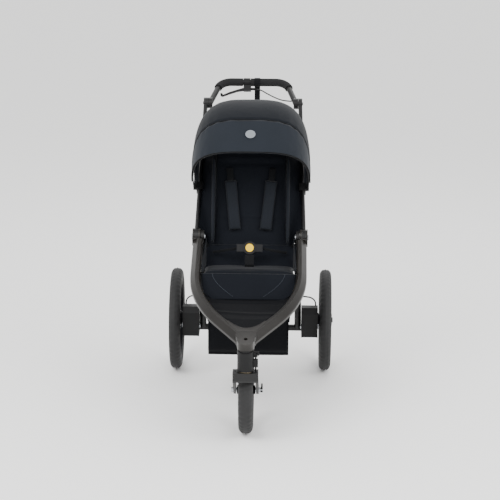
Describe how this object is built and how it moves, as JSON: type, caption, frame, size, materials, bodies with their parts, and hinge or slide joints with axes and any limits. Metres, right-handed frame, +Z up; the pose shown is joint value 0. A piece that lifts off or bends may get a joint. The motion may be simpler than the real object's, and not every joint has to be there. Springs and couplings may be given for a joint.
{
  "type": "baby stroller",
  "caption": "Three-wheeled jogging stroller with a folding frame, swivelling front wheel, sprung rear wheels, reclining harness seat, canopy, basket, turning handlebar and hand brake.",
  "frame": {"origin": "centre of the footprint box on the ground", "axes": "+Z up, the child faces -Y, +X to the child's left"},
  "size_m": [0.646, 1.2096, 1.1258],
  "materials": {
    "frame_paint": "satin",
    "black_paint": "satin",
    "black_plastic": "moulded",
    "bush_plastic": "moulded",
    "steel": "zinc plated",
    "spoke_steel": "blackened",
    "black_alloy": "anodised",
    "tyre": "moulded tread",
    "spring_rubber": "moulded",
    "cable_sheath": "smooth",
    "red_plastic": "moulded",
    "yellow_plastic": "moulded",
    "foam": "foam",
    "seat_fabric": "woven",
    "canopy_fabric": "woven",
    "liner_fabric": "woven",
    "webbing": "woven webbing"
  },
  "bodies": {
    "chassis": {"main_frame": "frame_paint", "steering_head": "black_plastic", "head_bushes": "bush_plastic", "fold_hubs": "frame_paint", "fold_pins": "steel", "seat_pan": "seat_fabric", "calf_flap": "seat_fabric", "footwell": "liner_fabric", "basket": "liner_fabric", "crotch_strap": "webbing"},
    "swivel_lock": {"swivel_lock": "black_plastic"},
    "fork": {"fork": "black_paint", "kingpin": "steel", "front_skewer": "steel"},
    "quick_release": {"qr_lever": "black_plastic"},
    "front_wheel": {"front_tyre": "tyre", "front_rim": "black_alloy", "front_spokes": "spoke_steel", "front_hub": "black_alloy", "front_bearings": "steel"},
    "rear_frame": {"rear_frame": "black_paint", "suspension_housings": "black_plastic", "suspension_pins": "steel", "suspension_blocks": "spring_rubber", "rear_cables": "cable_sheath"},
    "parking_brake": {"parking_brake": "red_plastic"},
    "swingarm_l": {"swingarm_l": "black_alloy", "rear_axle_l": "steel"},
    "swingarm_r": {"swingarm_r": "black_alloy", "rear_axle_r": "steel"},
    "rear_wheel_l": {"rear_tyre_l": "tyre", "rear_rim_l": "black_alloy", "rear_spokes_l": "spoke_steel", "rear_hub_l": "black_alloy"},
    "rear_wheel_r": {"rear_tyre_r": "tyre", "rear_rim_r": "black_alloy", "rear_spokes_r": "spoke_steel", "rear_hub_r": "black_alloy"},
    "wheel_button_l": {"wheel_button_l": "black_plastic"},
    "wheel_button_r": {"wheel_button_r": "black_plastic"},
    "upper_frame": {"upper_frame": "black_paint", "canopy_clamps": "black_plastic", "rear_bow": "black_plastic", "canopy_back": "canopy_fabric", "waist_straps": "webbing", "buckle": "black_plastic"},
    "buckle_button": {"buckle_button": "yellow_plastic"},
    "canopy_mid": {"mid_bow": "black_plastic"},
    "canopy_front": {"front_bow": "black_plastic", "canopy_visor": "canopy_fabric"},
    "handlebar": {"handlebar": "black_paint", "grip": "foam", "brake_bracket": "black_plastic", "handle_cable": "cable_sheath", "wrist_strap": "webbing"},
    "brake_lever": {"brake_lever": "black_plastic"},
    "handle_button_l": {"handle_button_l": "black_plastic"},
    "handle_button_r": {"handle_button_r": "black_plastic"},
    "backrest": {"backrest": "seat_fabric", "shoulder_harness": "webbing"}
  },
  "joints": [
    {"name": "swivel", "type": "hinge", "parent": "chassis", "child": "fork", "pos_m": [0, -0.57095, 0.3], "axis": [0, 0, 1], "continuous": true},
    {"name": "swivel_lock", "type": "slide", "parent": "chassis", "child": "swivel_lock", "axis": [0, 0, 1], "range_m": [-0.008, 0]},
    {"name": "quick_release", "type": "hinge", "parent": "fork", "child": "quick_release", "pos_m": [0.0546, -0.42295, 0.158], "axis": [0, 0, 1], "range_deg": [-150, 0]},
    {"name": "front_wheel_spin", "type": "hinge", "parent": "fork", "child": "front_wheel", "pos_m": [0, -0.42295, 0.158], "axis": [1, 0, 0], "continuous": true},
    {"name": "rear_fold", "type": "hinge", "parent": "chassis", "child": "rear_frame", "pos_m": [0, 0.07705, 0.6], "axis": [1, 0, 0], "range_deg": [-45, 0]},
    {"name": "parking_brake", "type": "hinge", "parent": "rear_frame", "child": "parking_brake", "pos_m": [0, 0.31705, 0.2], "axis": [1, 0, 0], "range_deg": [-25, 0]},
    {"name": "suspension_l", "type": "hinge", "parent": "rear_frame", "child": "swingarm_l", "pos_m": [-0.23, 0.24505, 0.205], "axis": [1, 0, 0], "range_deg": [-4, 9.5], "stiffness_Nm_per_rad": 120, "springref_deg": -2.86, "deforming": ["suspension_blocks", "rear_cables"]},
    {"name": "rear_wheel_spin_l", "type": "hinge", "parent": "swingarm_l", "child": "rear_wheel_l", "pos_m": [-0.292, 0.36505, 0.2], "axis": [1, 0, 0], "continuous": true},
    {"name": "wheel_button_l", "type": "slide", "parent": "rear_wheel_l", "child": "wheel_button_l", "axis": [1, 0, 0], "range_m": [0, 0.003], "stiffness_N_per_m": 800, "springref_m": -0.003},
    {"name": "suspension_r", "type": "hinge", "parent": "rear_frame", "child": "swingarm_r", "pos_m": [0.23, 0.24505, 0.205], "axis": [1, 0, 0], "range_deg": [-4, 9.5], "stiffness_Nm_per_rad": 120, "springref_deg": -2.86, "deforming": ["suspension_blocks", "rear_cables"]},
    {"name": "rear_wheel_spin_r", "type": "hinge", "parent": "swingarm_r", "child": "rear_wheel_r", "pos_m": [0.292, 0.36505, 0.2], "axis": [1, 0, 0], "continuous": true},
    {"name": "wheel_button_r", "type": "slide", "parent": "rear_wheel_r", "child": "wheel_button_r", "axis": [-1, 0, 0], "range_m": [0, 0.003], "stiffness_N_per_m": 800, "springref_m": -0.003},
    {"name": "frame_fold", "type": "hinge", "parent": "chassis", "child": "upper_frame", "pos_m": [0, 0.07705, 0.6], "axis": [1, 0, 0], "range_deg": [0, 85], "deforming": ["crotch_strap"]},
    {"name": "canopy_middle", "type": "hinge", "parent": "upper_frame", "child": "canopy_mid", "pos_m": [0, 0.21195, 0.75797], "axis": [1, 0, 0], "range_deg": [-46, 0], "deforming": ["canopy_back", "canopy_visor"]},
    {"name": "canopy_front", "type": "hinge", "parent": "canopy_mid", "child": "canopy_front", "pos_m": [0, 0.21195, 0.75797], "axis": [1, 0, 0], "range_deg": [-17, 0], "deforming": ["canopy_back", "canopy_visor"]},
    {"name": "handlebar_angle", "type": "hinge", "parent": "upper_frame", "child": "handlebar", "pos_m": [0, 0.45705, 1.045], "axis": [1, 0, 0], "range_deg": [-50, 50]},
    {"name": "handle_button_l", "type": "slide", "parent": "handlebar", "child": "handle_button_l", "axis": [1, 0, 0], "range_m": [0, 0.003], "stiffness_N_per_m": 800, "springref_m": -0.003},
    {"name": "handle_button_r", "type": "slide", "parent": "handlebar", "child": "handle_button_r", "axis": [-1, 0, 0], "range_m": [0, 0.003], "stiffness_N_per_m": 800, "springref_m": -0.003},
    {"name": "brake_lever", "type": "hinge", "parent": "handlebar", "child": "brake_lever", "pos_m": [-0.034, 0.57508, 1.08269], "axis": [0, -0.9041, 0.4274], "range_deg": [-10, 0], "stiffness_Nm_per_rad": 1.5, "springref_deg": 8.59},
    {"name": "recline", "type": "hinge", "parent": "upper_frame", "child": "backrest", "pos_m": [0, 0.06405, 0.512], "axis": [1, 0, 0], "range_deg": [-25, 0]},
    {"name": "buckle_button", "type": "slide", "parent": "upper_frame", "child": "buckle_button", "axis": [0, 0.9304, -0.3665], "range_m": [0, 0.002], "stiffness_N_per_m": 800, "springref_m": -0.003}
  ],
  "couplings": [
    {"joint": "canopy_front", "follows": "canopy_middle", "ratio": 0.35}
  ]
}
